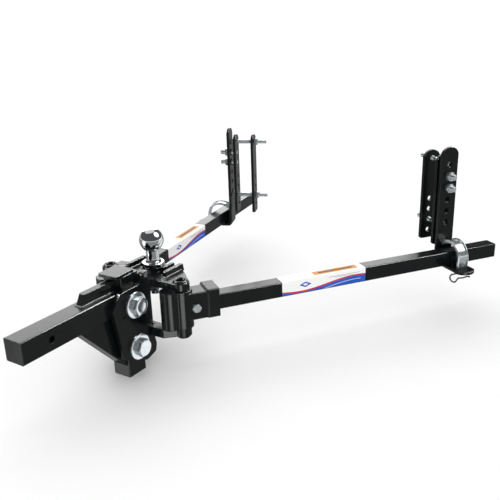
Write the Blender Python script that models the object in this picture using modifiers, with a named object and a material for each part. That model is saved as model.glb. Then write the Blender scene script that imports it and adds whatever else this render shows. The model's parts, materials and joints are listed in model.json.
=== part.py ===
"""Weight distribution hitch: receiver shank, ball head, two spring bars and their frame brackets.

Frame: +X runs back towards the trailer, +Z is up and +Y is the vehicle's right.
The origin is the centre of the shank's front end face. Near is the -Y side, far the +Y side.
Everything that swings with a spring bar hangs on the empty at its socket's pivot axis.
"""

import math

import bmesh
import bpy
from mathutils import Matrix, Vector

INCH = 0.0254
GAP = 0.0003

# Shank
SHANK_SIDE = 2 * INCH
SHANK_CORNER = 0.003
RECEIVER_HOLE = 5 / 8 * INCH
RECEIVER_HOLE_X = 0.075
RAIL_WIDTH = 0.017
RAIL_HEIGHT = 0.0255
RAIL_FRONT = 0.176
RAIL_SLOPE = 0.014

# Drop post
POST_FRONT = 0.282
POST_DEPTH = 2.25 * INCH
POST_REAR = POST_FRONT + POST_DEPTH
POST_TOP = 0.058
POST_BOTTOM = -0.195
CAP_FRONT, CAP_REAR = 0.266, 0.325
CAP_WIDTH = 0.054
CAP_THICK = 0.008
GUSSET_WIDTH = 0.038
GUSSET_TIP = 0.154
GUSSET_BOTTOM = -0.165

# Head
CHEEK_INNER = SHANK_SIDE / 2 + 0.0005
CHEEK_THICK = INCH / 2
CHEEK_OUTER = CHEEK_INNER + CHEEK_THICK
CHEEK_REAR = 0.362
HEAD_BOLT_X = 0.308
HEAD_BOLT_HEIGHTS = {"upper": -0.014, "lower": -0.120}
HEAD_BOLT = INCH
HEAD_BOLT_FLATS = 1.5 * INCH
HEAD_BOLT_HEAD = 0.0155
HEAD_NUT = 0.022
HEAD_WASHER = 2.45 * INCH
HEAD_WASHER_THICK = 0.004
TOP_PLATE_BOTTOM, TOP_PLATE_TOP = 0.0105, 0.028
BOTTOM_PLATE_BOTTOM, BOTTOM_PLATE_TOP = -0.106, -0.084
WEB_FRONT, WEB_REAR = 0.345, 0.353
WEB_BOTTOM = -0.150
RIVET_Z = -0.128
RIVET = 0.012
SPACER = 0.032

# Ball
BALL_X = 0.423
BALL = 2.3125 * INCH
BALL_Z = 0.102
BALL_SHANK = 1.25 * INCH
BOSS_TOP = 0.038
FLANGE = 0.054
NECK = 0.031
BALL_NUT_FLATS = 1.875 * INCH

# Sockets and spring bars
PIVOT_X, PIVOT_Y = 0.388, 0.109
PIVOT_PIN = 0.020
UPPER_EAR, LOWER_EAR = 0.021, 0.020
BARREL = 0.052
TAIL = 0.044
TAIL_AT = -0.029
ARM_LENGTH = 0.056
ARM_BOTTOM, ARM_TOP = -0.064, 0.003
COLLAR_END = 0.084
COLLAR_WIDTH = 0.060
COLLAR_TOP = 0.008
SOCKET_BOLT = INCH / 2
SOCKET_BOLT_AT = 0.027
BAR_SIDE = 1.5 * INCH
BAR_Z = -0.032
BAR_START, BAR_END = 0.0155, 0.891
LABEL_START, LABEL_END = 0.248, 0.480
LABEL_THICK = 0.0005

# Frame brackets, measured from the centre of the bar that they carry
PLATE_THICK = 0.008
L_WIDTH = 2 * INCH
L_TOP = 0.292
L_FACE = 0.0308
FOOT_TOP = -BAR_SIDE / 2 - 0.0005
FOOT_END = -0.082
APEX_RADIUS = 0.027
STUD = 9 / 16 * INCH
STUD_PITCH = 1.25 * INCH
FIRST_STUD_HOLE = 0.046
STUD_SHOULDER = 0.022
FRAME_PLATE_WIDTH = 0.050
FRAME_PLATE_TOP = L_TOP - 0.020
FRAME_PLATE_TALL = 0.252
BRACKET_GAP = 0.012
FRAME_GAP = 0.049
FRAME_BOLT = INCH / 2
FRAME_BOLT_HEIGHTS = {"upper": 0.023, "lower": 0.1972}
SPARE_HOLES = (0.1366, 0.1669, 0.2275)
FRAME_BOLT_HEAD = 0.0078
FRAME_BOLT_END = 0.154
NUT_THICK = 0.011
RETAINER_WIDTH = 0.032
RETAINER_AT = 0.004
RETAINER_RADIUS = 0.0395
RETAINER_THICK = 0.004
RETAINER_RIB = 0.0035
RETAINER_CENTRE = (-0.0045, 0.0025)
RETAINER_PIN = 0.0095
RETAINER_PIN_END = -0.040 - BAR_SIDE / 2 + 0.019
CLIP_WIRE = 0.0036
CLIP_HOLE_Z = RETAINER_PIN_END + 0.005
CLIP_TILT = math.radians(35)

# Rest position: how far each bar is swung out, how far along it its bracket stands, and how
# much further the bracket is turned out than the bar that lies in it
SIDES = {
    "near": (-1, math.radians(35.8), 0.758, 0.0),
    "far": (1, math.radians(9.9), 0.650, math.radians(11)),
}

LOOKS = {
    "black": ((0.012, 0.014, 0.016, 1), 0.22, 0.0),
    "zinc": ((0.72, 0.76, 0.78, 1), 0.32, 1.0),
    "chrome": ((0.86, 0.87, 0.88, 1), 0.06, 1.0),
    "label": ((0.85, 0.85, 0.83, 1), 0.4, 0.0),
}

QUARTER = math.radians(90)
# Where an outline drawn in x and y stands once it is extruded along an axis
PLANES = {
    "Z": Matrix.Identity(4),
    "Y": Matrix.Rotation(QUARTER, 4, "X"),
    "X": Matrix.Rotation(QUARTER, 4, "Z") @ Matrix.Rotation(QUARTER, 4, "X"),
}
# How a shape built along +Z is turned to lie along another direction
DIRECTIONS = {
    "Z": Matrix.Identity(4),
    "Y": Matrix.Rotation(-QUARTER, 4, "X"),
    "-Y": Matrix.Rotation(QUARTER, 4, "X"),
    "X": Matrix.Rotation(QUARTER, 4, "Y"),
}


# Outlines


def arc(x, y, radius, start, end, steps):
    """Points on an arc round (x, y), from start to end in degrees."""
    angles = [math.radians(start + (end - start) * k / steps) for k in range(steps + 1)]
    return [(x + radius * math.cos(a), y + radius * math.sin(a)) for a in angles]


def rounded(corners, steps=3):
    """An outline of (x, y, radius) corners, each replaced by an arc of that radius."""
    points = []
    for k, (x, y, radius) in enumerate(corners):
        here = Vector((x, y))
        if not radius:
            points.append((x, y))
            continue
        before = (Vector(corners[k - 1][:2]) - here).normalized()
        after = (Vector(corners[(k + 1) % len(corners)][:2]) - here).normalized()
        half = before.angle(after) / 2
        centre = here + (before + after).normalized() * radius / math.sin(half)
        first = here + before * radius / math.tan(half) - centre
        last = here + after * radius / math.tan(half) - centre
        start = math.degrees(math.atan2(first.y, first.x))
        turn = math.degrees(math.atan2(last.y, last.x)) - start
        turn = (turn + 180) % 360 - 180
        points += arc(centre.x, centre.y, radius, start, start + turn, steps)
    return points


def rectangle(x_low, x_high, y_low, y_high, radius=0.0):
    return rounded(
        [
            (x_low, y_low, radius),
            (x_high, y_low, radius),
            (x_high, y_high, radius),
            (x_low, y_high, radius),
        ]
    )


def round_topped(width, bottom, top, foot_radius=0.0):
    """A tall plate's outline, with an arched top edge."""
    half = width / 2
    lean = math.degrees(math.acos(half / APEX_RADIUS))
    top_arc = arc(0, top - APEX_RADIUS, APEX_RADIUS, lean, 180 - lean, 10)
    if not foot_radius:
        return [(-half, bottom), (half, bottom)] + top_arc
    left = arc(-half + foot_radius, bottom + foot_radius, foot_radius, 180, 270, 3)
    right = arc(half - foot_radius, bottom + foot_radius, foot_radius, 270, 360, 3)
    return left + right + top_arc


# Meshes


def clean(mesh):
    """Joins the points that a conversion leaves double, and turns the faces outwards."""
    shape = bmesh.new()
    shape.from_mesh(mesh)
    bmesh.ops.remove_doubles(shape, verts=shape.verts, dist=1e-6)
    bmesh.ops.recalc_face_normals(shape, faces=shape.faces)
    shape.to_mesh(mesh)
    shape.free()
    return mesh


def baked(data, modifier=None, **settings):
    """The mesh of a curve, or of a profile with one modifier on it."""
    holder = bpy.data.objects.new("profile", data)
    bpy.context.scene.collection.objects.link(holder)
    if modifier:
        added = holder.modifiers.new(modifier, modifier)
        for name, value in settings.items():
            setattr(added, name, value)
    graph = bpy.context.evaluated_depsgraph_get()
    mesh = bpy.data.meshes.new_from_object(holder.evaluated_get(graph))
    bpy.data.objects.remove(holder)
    return clean(mesh)


def extruded(outline, low, high, along="Z"):
    """A flat outline given thickness from low to high along an axis."""
    curve = bpy.data.curves.new("outline", "CURVE")
    curve.dimensions = "2D"
    curve.fill_mode = "BOTH"
    curve.extrude = (high - low) / 2
    spline = curve.splines.new("POLY")
    spline.points.add(len(outline) - 1)
    for point, (x, y) in zip(spline.points, outline):
        point.co = (x, y, 0, 1)
    spline.use_cyclic_u = True
    mesh = baked(curve)
    mesh.transform(PLANES[along])
    middle = (low + high) / 2
    offset = {"X": (middle, 0, 0), "Y": (0, middle, 0), "Z": (0, 0, middle)}[along]
    mesh.transform(Matrix.Translation(offset))
    return mesh


def turned(profile, along="Z", sides=24):
    """A profile of (radius, height) points, from the top down, turned round its axis."""
    mesh = bpy.data.meshes.new("turned")
    shape = bmesh.new()
    points = [shape.verts.new((radius, 0, height)) for radius, height in profile]
    for upper, lower in zip(points, points[1:]):
        shape.edges.new((upper, lower))
    shape.to_mesh(mesh)
    shape.free()
    mesh = baked(
        mesh,
        "SCREW",
        axis="Z",
        steps=sides,
        render_steps=sides,
        use_merge_vertices=True,
        merge_threshold=1e-5,
    )
    mesh.transform(DIRECTIONS[along])
    return mesh


def prism(diameter, low, high, along="Z", sides=24, at=(0, 0, 0)):
    """A cylinder, or a hexagon when it has six sides, from low to high along a direction."""
    mesh = bpy.data.meshes.new("prism")
    shape = bmesh.new()
    bmesh.ops.create_cone(
        shape,
        cap_ends=True,
        segments=sides,
        radius1=diameter / 2,
        radius2=diameter / 2,
        depth=high - low,
    )
    bmesh.ops.translate(shape, vec=(0, 0, (low + high) / 2), verts=shape.verts)
    shape.to_mesh(mesh)
    shape.free()
    mesh.transform(DIRECTIONS[along])
    mesh.transform(Matrix.Translation(at))
    return mesh


def bore(diameter, low, high, along="Z", at=(0, 0, 0)):
    """A drill that clears a round shank of this diameter by GAP all round, flats included."""
    sides = 16
    clear = (diameter + 2 * GAP) / math.cos(math.pi / sides)
    return prism(clear, low, high, along, sides, at)


def box(x, y, z):
    """A box between the low and high ends given for each axis."""
    mesh = bpy.data.meshes.new("box")
    shape = bmesh.new()
    bmesh.ops.create_cube(shape, size=1)
    for vertex in shape.verts:
        vertex.co = [
            low + (high - low) * (part + 0.5)
            for part, (low, high) in zip(vertex.co, (x, y, z))
        ]
    shape.to_mesh(mesh)
    shape.free()
    return mesh


def together(meshes):
    """Several separate shapes in one mesh, for one Boolean."""
    shape = bmesh.new()
    for mesh in meshes:
        shape.from_mesh(mesh)
    joined = bpy.data.meshes.new("together")
    shape.to_mesh(joined)
    shape.free()
    return joined


# Objects


def collection(name):
    found = bpy.data.collections.new(name)
    bpy.context.scene.collection.children.link(found)
    return found


def clear_scene():
    for obj in list(bpy.data.objects):
        bpy.data.objects.remove(obj)


def material(name, look):
    """A sub-part's own material: black paint, zinc plate, chrome or printed label."""
    colour, roughness, metallic = LOOKS[look]
    made = bpy.data.materials.new(name)
    made.use_nodes = True
    shader = made.node_tree.nodes["Principled BSDF"]
    shader.inputs["Base Color"].default_value = colour
    shader.inputs["Roughness"].default_value = roughness
    shader.inputs["Metallic"].default_value = metallic
    return made


def part(name, mesh, look="black", parent=None, at=(0, 0, 0)):
    """Adds a named sub-part, whose mesh is given round its own origin."""
    mesh.name = name
    mesh.materials.clear()
    mesh.materials.append(material(name, look))
    mesh.shade_smooth()
    mesh.set_sharp_from_angle(angle=math.radians(35))
    obj = bpy.data.objects.new(name, mesh)
    PARTS.objects.link(obj)
    obj.parent = parent
    obj.location = at
    return obj


def empty(name, at, turn=0.0, parent=None):
    obj = bpy.data.objects.new(name, None)
    PARTS.objects.link(obj)
    obj.parent = parent
    obj.location = at
    obj.rotation_euler.z = turn
    return obj


def combine(obj, mesh, operation):
    """Cuts, joins or intersects a helper, which is given round the object's own origin."""
    helper = bpy.data.objects.new(f"{obj.name}_{operation.lower()}", mesh)
    CUTTERS.objects.link(helper)
    helper.parent = obj
    helper.hide_render = True
    helper.display_type = "WIRE"
    modifier = obj.modifiers.new(operation.lower(), "BOOLEAN")
    modifier.operation = operation
    modifier.solver = "EXACT"
    modifier.object = helper


def bolt(name, along, flats, head, diameter, length, parent=None, at=(0, 0, 0)):
    """A hex bolt whose shank starts at its origin. The head lies behind the origin."""
    obj = part(name, prism(flats * 2 / math.sqrt(3), -head, 0, along, 6), "zinc", parent, at)
    combine(obj, prism(diameter, -head / 2, length, along, 16), "UNION")
    return obj


def nut(name, along, flats, thick, hole, parent=None, at=(0, 0, 0)):
    """A hex nut that starts at its origin, with its bore open right through."""
    obj = part(name, prism(flats * 2 / math.sqrt(3), 0, thick, along, 6), "zinc", parent, at)
    combine(obj, bore(hole, -thick, 2 * thick, along), "DIFFERENCE")
    return obj


def washer(name, along, outer, inner, thick, at):
    """A flat washer, which starts at its origin."""
    obj = part(name, prism(outer, 0, thick, along, 32), "zinc", None, at)
    combine(obj, bore(inner, -thick, 2 * thick, along), "DIFFERENCE")
    return obj


# Shank and drop post


def shank_bar():
    half = SHANK_SIDE / 2
    outline = rectangle(-half, half, -half, half, SHANK_CORNER)
    obj = part("shank_bar", extruded(outline, 0, POST_FRONT - GAP, "X"))
    hole = prism(
        RECEIVER_HOLE, -SHANK_SIDE, SHANK_SIDE, "Y", 24, (RECEIVER_HOLE_X, 0, 0)
    )
    combine(obj, hole, "DIFFERENCE")


def shank_top_rail():
    low = SHANK_SIDE / 2 + GAP
    high = low + RAIL_HEIGHT
    outline = rounded(
        [
            (RAIL_FRONT, low, 0),
            (POST_FRONT - GAP, low, 0),
            (POST_FRONT - GAP, high, 0),
            (RAIL_FRONT + RAIL_SLOPE, high, 0.002),
        ]
    )
    part("shank_top_rail", extruded(outline, -RAIL_WIDTH / 2, RAIL_WIDTH / 2, "Y"))


def drop_post():
    half = SHANK_SIDE / 2
    outline = rectangle(POST_FRONT, POST_REAR, -half, half, SHANK_CORNER)
    obj = part("drop_post", extruded(outline, POST_BOTTOM, POST_TOP, "Z"))
    bores = [
        bore(HEAD_BOLT, -SHANK_SIDE, SHANK_SIDE, "Y", (HEAD_BOLT_X, 0, z))
        for z in HEAD_BOLT_HEIGHTS.values()
    ]
    combine(obj, together(bores), "DIFFERENCE")


def post_cap():
    low = POST_TOP + GAP
    outline = rectangle(CAP_FRONT, CAP_REAR, -CAP_WIDTH / 2, CAP_WIDTH / 2, 0.003)
    part("post_cap", extruded(outline, low, low + CAP_THICK, "Z"))


def shank_gusset():
    top = -SHANK_SIDE / 2 - GAP
    rear = POST_FRONT - GAP
    outline = [(GUSSET_TIP, top), (rear, GUSSET_BOTTOM), (rear, top)]
    part("shank_gusset", extruded(outline, -GUSSET_WIDTH / 2, GUSSET_WIDTH / 2, "Y"))


# Head


def top_plate_half():
    """The top plate's outline from its front, round the ear, to its rear, on the +Y side."""
    tongue = CHEEK_INNER - GAP
    slot_rear = 0.3766
    front = [
        (0.342, tongue),
        (slot_rear, tongue),
        (slot_rear, CHEEK_OUTER + GAP),
        (0.366, CHEEK_OUTER + GAP),
        (0.368, 0.085),
    ]
    ear = arc(PIVOT_X, PIVOT_Y, UPPER_EAR, 180, 20, 10)
    rear = [(0.438, 0.083), (0.450, 0.066), (0.456, 0.034)]
    boss = arc(BALL_X, 0, 0.041, 36, 0, 4)
    return front + ear + rear + boss


def head_top_plate():
    half = top_plate_half()
    outline = half + [(x, -y) for x, y in reversed(half[:-1])]
    obj = part("head_top_plate", extruded(outline, TOP_PLATE_BOTTOM, TOP_PLATE_TOP, "Z"))
    root = TOP_PLATE_TOP - 0.006
    ribs = []
    for side in (-1, 1):
        long_rib = rounded(
            [(0.391, root, 0), (0.462, root, 0), (0.458, 0.041, 0.003), (0.394, 0.041, 0.003)]
        )
        short_rib = rounded(
            [(0.416, root, 0), (0.459, root, 0), (0.456, 0.040, 0.003), (0.419, 0.040, 0.003)]
        )
        ribs.append(extruded(long_rib, side * 0.058 - 0.0045, side * 0.058 + 0.0045, "Y"))
        ribs.append(extruded(short_rib, side * 0.0335 - 0.004, side * 0.0335 + 0.004, "Y"))
        ribs.append(prism(0.038, root, TOP_PLATE_TOP + 0.0015, "Z", 24, (PIVOT_X, side * PIVOT_Y, 0)))
    ribs.append(prism(0.054, root, BOSS_TOP, "Z", 32, (BALL_X, 0, 0)))
    for rib in ribs:
        combine(obj, rib, "UNION")
    bores = [bore(PIVOT_PIN, 0, 0.1, "Z", (PIVOT_X, side * PIVOT_Y, 0)) for side in (-1, 1)]
    bores.append(bore(BALL_SHANK, 0, 0.1, "Z", (BALL_X, 0, 0)))
    combine(obj, together(bores), "DIFFERENCE")


def cheek_outline():
    """A cheek plate's outline in X and Z, with the slot that the bottom plate passes through."""
    slot_front = WEB_REAR + GAP
    return rounded(
        [
            (0.264, 0.029, 0.004),
            (0.236, -0.003, 0.004),
            (0.259, -0.135, 0.012),
            (0.332, -0.167, 0.012),
            (0.364, -0.158, 0.006),
            (0.369, -0.140, 0.006),
            (CHEEK_REAR, BOTTOM_PLATE_BOTTOM - GAP, 0),
            (slot_front, BOTTOM_PLATE_BOTTOM - GAP, 0),
            (slot_front, BOTTOM_PLATE_TOP + GAP, 0),
            (CHEEK_REAR, BOTTOM_PLATE_TOP + GAP, 0),
            (CHEEK_REAR, 0.006, 0.004),
            (0.376, 0.012, 0.002),
            (0.372, 0.052, 0.018),
            (0.338, 0.054, 0.016),
            (0.326, 0.030, 0.008),
        ]
    )


def head_cheek(side, sign):
    low, high = sorted((sign * CHEEK_INNER, sign * CHEEK_OUTER))
    obj = part(f"head_cheek_{side}", extruded(cheek_outline(), low, high, "Y"))
    cuts = [
        bore(HEAD_BOLT, low - 0.01, high + 0.01, "Y", (HEAD_BOLT_X, 0, z))
        for z in HEAD_BOLT_HEIGHTS.values()
    ]
    recess_low, recess_high = sorted((sign * (CHEEK_OUTER - 0.003), sign * (CHEEK_OUTER + 0.01)))
    recess = rectangle(0.261, 0.279, -0.033, 0.012, 0.004)
    cuts.append(extruded(recess, recess_low, recess_high, "Y"))
    combine(obj, together(cuts), "DIFFERENCE")


def head_bottom_plate():
    cheek = CHEEK_OUTER + GAP
    front = [(WEB_REAR + 2 * GAP, cheek), (0.344, cheek), (0.346, 0.082)]
    ear = arc(PIVOT_X, PIVOT_Y, LOWER_EAR, 190, 5, 10)
    rear = [(0.404, 0.080), (0.380, 0.062), (0.374, 0.050)]
    half = front + ear + rear
    outline = half + [(x, -y) for x, y in reversed(half)]
    obj = part(
        "head_bottom_plate", extruded(outline, BOTTOM_PLATE_BOTTOM, BOTTOM_PLATE_TOP, "Z")
    )
    bores = [bore(PIVOT_PIN, -0.12, 0, "Z", (PIVOT_X, side * PIVOT_Y, 0)) for side in (-1, 1)]
    combine(obj, together(bores), "DIFFERENCE")


def head_rear_web():
    half = CHEEK_INNER - GAP
    top = TOP_PLATE_BOTTOM - GAP
    obj = part("head_rear_web", box((WEB_FRONT, WEB_REAR), (-half, half), (WEB_BOTTOM, top)))
    hole = bore(RIVET, WEB_FRONT - 0.01, WEB_REAR + 0.01, "X", (0, 0, RIVET_Z))
    combine(obj, hole, "DIFFERENCE")


def tilt_rivet():
    """The rivet through the web, and the spacer washer that it holds against the post."""
    front = POST_REAR + 0.001
    head = WEB_REAR + GAP
    profile = [
        (0, head + 0.005),
        (0.006, head + 0.0042),
        (0.010, head + 0.001),
        (0.010, head),
        (RIVET / 2, head),
        (RIVET / 2, front),
        (0, front),
    ]
    part("tilt_rivet", turned(profile, "X", 16), "zinc", None, (0, 0, RIVET_Z))
    start = POST_REAR + GAP
    thick = WEB_FRONT - GAP - start
    washer("tilt_spacer_washer", "X", SPACER, RIVET, thick, (start, 0, RIVET_Z))


def head_bolts():
    start = -CHEEK_OUTER - GAP
    for level, z in HEAD_BOLT_HEIGHTS.items():
        washer_at = start - HEAD_WASHER_THICK
        washer(
            f"head_washer_{level}",
            "Y",
            HEAD_WASHER,
            HEAD_BOLT,
            HEAD_WASHER_THICK,
            (HEAD_BOLT_X, washer_at, z),
        )
        head_at = washer_at - GAP
        nut_at = CHEEK_OUTER + GAP
        length = nut_at + HEAD_NUT + 0.008 - head_at
        bolt(
            f"head_bolt_{level}",
            "Y",
            HEAD_BOLT_FLATS,
            HEAD_BOLT_HEAD,
            HEAD_BOLT,
            length,
            None,
            (HEAD_BOLT_X, head_at, z),
        )
        nut(
            f"head_nut_{level}",
            "Y",
            HEAD_BOLT_FLATS,
            HEAD_NUT,
            HEAD_BOLT,
            None,
            (HEAD_BOLT_X, nut_at, z),
        )


def ball_profile():
    """The ball, neck, flange and shank, from the crown down. Heights are above the origin."""
    radius = BALL / 2
    neck = NECK / 2
    lowest = -math.degrees(math.acos(neck / radius))
    crown = arc(0, BALL_Z, radius, 78, lowest, 14)
    flat = (0, crown[0][1])
    flange_bottom = BOSS_TOP + GAP
    flange_top = flange_bottom + 0.009
    shank = BALL_SHANK / 2
    return (
        [flat]
        + crown
        + [
            (neck, flange_top + 0.008),
            (neck + 0.004, flange_top + 0.002),
            (FLANGE / 2 - 0.003, flange_top),
            (FLANGE / 2, flange_top - 0.002),
            (FLANGE / 2, flange_bottom),
            (shank, flange_bottom),
            (shank, -0.032),
            (0, -0.032),
        ]
    )


def hitch_ball():
    at = (BALL_X, 0, 0)
    part("hitch_ball", turned(ball_profile(), "Z", 32), "chrome", None, at)
    washer_thick = 0.006
    washer_at = TOP_PLATE_BOTTOM - GAP - washer_thick
    washer("ball_lock_washer", "Z", 0.050, BALL_SHANK, washer_thick, (BALL_X, 0, washer_at))
    nut_thick = 0.026
    nut_at = (BALL_X, 0, washer_at - GAP - nut_thick)
    nut("ball_nut", "Z", BALL_NUT_FLATS, nut_thick, BALL_SHANK, None, nut_at)


# Sockets and spring bars


def bar_hole():
    """The square opening that takes a spring bar, in Y and Z."""
    half = BAR_SIDE / 2 + GAP
    return rectangle(-half, half, BAR_Z - half, BAR_Z + half)


def socket(side, axis):
    low = BOTTOM_PLATE_TOP + 0.0005
    high = TOP_PLATE_BOTTOM - 0.0005
    half = BARREL / 2
    obj = part(f"socket_{side}", prism(BARREL, low, high, "Z", 32), "black", axis)
    arm = rectangle(-half + 0.0004, half - 0.0004, ARM_BOTTOM, ARM_TOP, 0.004)
    combine(obj, extruded(arm, 0.002, ARM_LENGTH, "X"), "UNION")
    combine(obj, extruded(rectangle(TAIL_AT, 0.0, -TAIL / 2, TAIL / 2), low, high, "Z"), "UNION")
    combine(obj, prism(TAIL, low, high, "Z", 32, (TAIL_AT, 0, 0)), "UNION")
    combine(obj, bore(PIVOT_PIN, -0.1, 0.1), "DIFFERENCE")
    combine(obj, extruded(bar_hole(), BAR_START - 0.0005, 0.1, "X"), "DIFFERENCE")
    bolt_hole = bore(SOCKET_BOLT, -0.05, 0.05, "Y", (SOCKET_BOLT_AT, 0, BAR_Z))
    combine(obj, bolt_hole, "DIFFERENCE")


def socket_collar(side, axis):
    half = COLLAR_WIDTH / 2
    outline = rectangle(-half, half, ARM_BOTTOM, COLLAR_TOP, 0.004)
    mesh = extruded(outline, ARM_LENGTH + GAP, COLLAR_END, "X")
    obj = part(f"socket_collar_{side}", mesh, "black", axis)
    combine(obj, extruded(bar_hole(), 0.03, 0.12, "X"), "DIFFERENCE")


def socket_pivot_pin(side, sign):
    radius = PIVOT_PIN / 2
    top = TOP_PLATE_TOP - 0.004
    shoulder = BOTTOM_PLATE_BOTTOM - GAP
    profile = [
        (0, top),
        (radius - 0.0015, top),
        (radius, top - 0.0015),
        (radius, shoulder),
        (0.015, shoulder),
        (0.015, shoulder - 0.005),
        (0, shoulder - 0.005),
    ]
    at = (PIVOT_X, sign * PIVOT_Y, 0)
    part(f"socket_pivot_pin_{side}", turned(profile, "Z", 20), "black", None, at)


def socket_bolt(side, axis):
    head_side = -BARREL / 2 - GAP
    bolt(
        f"socket_bolt_{side}",
        "Y",
        0.75 * INCH,
        0.008,
        SOCKET_BOLT,
        0.050,
        axis,
        (SOCKET_BOLT_AT, head_side, BAR_Z),
    )


def spring_bar(side, axis):
    half = BAR_SIDE / 2
    outline = rectangle(-half, half, -half, half, 0.003)
    mesh = extruded(outline, BAR_START, BAR_END, "X")
    obj = part(f"spring_bar_{side}", mesh, "black", axis, (0, 0, BAR_Z))
    bolt_hole = bore(SOCKET_BOLT, -0.05, 0.05, "Y", (SOCKET_BOLT_AT, 0, 0))
    combine(obj, bolt_hole, "DIFFERENCE")


def bar_label(side, axis):
    """A thin label folded over the bar's top and its -Y side."""
    inner = BAR_SIDE / 2 + GAP
    outer = inner + LABEL_THICK
    end = BAR_SIDE / 2 - 0.003
    corner = 0.003
    outline = [(end, inner)]
    outline += arc(-inner + corner, inner - corner, corner, 90, 180, 4)
    outline += [(-inner, -end), (-outer, -end)]
    outline += arc(-outer + corner, outer - corner, corner, 180, 90, 4)
    outline += [(end, outer)]
    mesh = extruded(outline, LABEL_START, LABEL_END, "X")
    part(f"bar_label_{side}", mesh, "label", axis, (0, 0, BAR_Z))


# Frame brackets


def stud_height(index):
    return L_TOP - FIRST_STUD_HOLE - index * STUD_PITCH


def l_bracket(side, inward, place):
    outboard = inward * L_FACE
    inboard = inward * (L_FACE + PLATE_THICK)
    end = inward * FOOT_END
    profile = rounded(
        [
            (inboard, L_TOP + 0.01, 0),
            (outboard, L_TOP + 0.01, 0),
            (outboard, FOOT_TOP, 0.005),
            (end - inward * 0.01, FOOT_TOP, 0),
            (end - inward * 0.01, FOOT_TOP - PLATE_THICK, 0),
            (inboard, FOOT_TOP - PLATE_THICK, 0.013),
        ]
    )
    half = L_WIDTH / 2
    mesh = extruded(profile, -half - 0.005, half + 0.005, "X")
    obj = part(f"l_bracket_{side}", mesh, "black", place)
    tower = round_topped(L_WIDTH, FOOT_TOP - 0.05, L_TOP)
    combine(obj, extruded(tower, -0.12, 0.12, "Y"), "INTERSECT")
    foot_radius = 0.030
    foot = arc(0, end + inward * foot_radius, foot_radius, 0, -180 * inward, 12)
    foot += [(-foot_radius, inward * 0.08), (foot_radius, inward * 0.08)]
    combine(obj, extruded(foot, -0.12, 0.34, "Z"), "INTERSECT")
    low, high = sorted((0, inward * 0.05))
    bores = [bore(STUD, low, high, "Y", (0, 0, stud_height(k))) for k in range(6)]
    pin_at = (RETAINER_AT, inward * (RETAINER_CENTRE[0] - RETAINER_RADIUS), 0)
    bores.append(bore(RETAINER_PIN, -0.1, 0, "Z", pin_at))
    combine(obj, together(bores), "DIFFERENCE")


def frame_plate(side, inward, place, which, start):
    """One of the two plates that clamp the trailer's frame rail."""
    outline = round_topped(
        FRAME_PLATE_WIDTH, FRAME_PLATE_TOP - FRAME_PLATE_TALL, FRAME_PLATE_TOP, 0.006
    )
    low, high = sorted((inward * start, inward * (start + PLATE_THICK)))
    mesh = extruded(outline, low, high, "Y")
    obj = part(f"frame_plate_{which}_{side}", mesh, "black", place)
    depths = list(FRAME_BOLT_HEIGHTS.values()) + list(SPARE_HOLES)
    low -= 0.01
    high += 0.01
    bores = [bore(FRAME_BOLT, low, high, "Y", (0, 0, FRAME_PLATE_TOP - d)) for d in depths]
    if which == "outer":
        bores += [bore(STUD, low, high, "Y", (0, 0, stud_height(k))) for k in (1, 2)]
    combine(obj, together(bores), "DIFFERENCE")


def frame_bolts(side, direction, inward, place, outer_start, inner_start):
    for level, depth in FRAME_BOLT_HEIGHTS.items():
        z = FRAME_PLATE_TOP - depth
        shank_start = outer_start - GAP
        bolt(
            f"frame_bolt_{level}_{side}",
            direction,
            0.75 * INCH,
            FRAME_BOLT_HEAD,
            FRAME_BOLT,
            FRAME_BOLT_END - shank_start,
            place,
            (0, inward * shank_start, z),
        )
        nut_start = inner_start + PLATE_THICK + GAP
        nut(
            f"frame_nut_{level}_{side}",
            direction,
            0.75 * INCH,
            NUT_THICK,
            FRAME_BOLT,
            place,
            (0, inward * nut_start, z),
        )


def bracket_studs(side, direction, inward, place, outer_start):
    """Shouldered studs that space the outer frame plate off the L bracket, and their nuts."""
    l_inboard = L_FACE + PLATE_THICK
    radius = STUD / 2
    shoulder = STUD_SHOULDER / 2
    tip = 0.005
    nut_start = L_FACE - GAP - NUT_THICK
    for level, index in (("upper", 1), ("lower", 2)):
        z = stud_height(index)
        profile = [
            (0, outer_start + PLATE_THICK),
            (radius, outer_start + PLATE_THICK),
            (radius, outer_start - GAP),
            (shoulder, outer_start - GAP),
            (shoulder, l_inboard + GAP),
            (radius, l_inboard + GAP),
            (radius, tip),
            (0, tip),
        ]
        mesh = turned(profile, direction, 16)
        part(f"bracket_stud_{level}_{side}", mesh, "zinc", place, (0, 0, z))
        nut(
            f"bracket_nut_{level}_{side}",
            direction,
            7 / 8 * INCH,
            NUT_THICK,
            STUD,
            place,
            (0, inward * nut_start, z),
        )


def strap_outline(inward, inner, outer):
    """The retainer's side view in Y and Z: an arch over the bar and a leg down to the foot."""
    centre_y, centre_z = RETAINER_CENTRE
    bottom = FOOT_TOP + GAP
    start = math.degrees(math.acos((L_FACE - GAP - centre_y) / outer))
    near_start = math.degrees(math.acos((L_FACE - GAP - centre_y) / inner))
    over = arc(centre_y, centre_z, outer, start, 180, 12) + [(centre_y - outer, bottom)]
    under = arc(centre_y, centre_z, inner, near_start, 180, 12) + [(centre_y - inner, bottom)]
    return [(inward * y, z) for y, z in over + under[::-1]]


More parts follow.
